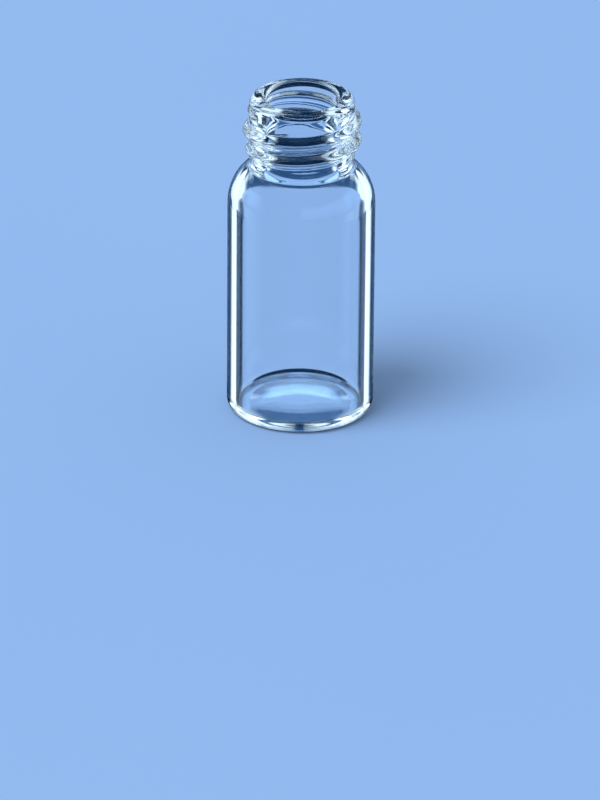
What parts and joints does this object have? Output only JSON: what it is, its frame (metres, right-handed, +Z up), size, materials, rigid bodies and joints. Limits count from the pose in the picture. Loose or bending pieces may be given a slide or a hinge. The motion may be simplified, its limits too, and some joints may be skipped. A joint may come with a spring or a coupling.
{
  "type": "glass sample vial",
  "caption": "Small clear glass sample vial: straight round body with a hollowed base, round shoulder, open screw neck and fire-polished rim.",
  "frame": {"origin": "middle of the standing ring under the base", "axes": "+Z up along the body's axis, out of the mouth; the thread's upper end lies 240 degrees from +X, turned towards +Y"},
  "size_m": [0.016, 0.016, 0.0365],
  "materials": {
    "clear_glass": "clear colourless tubing glass, fire-polished"
  },
  "bodies": {
    "root": {"vial": "clear_glass"}
  },
  "joints": []
}
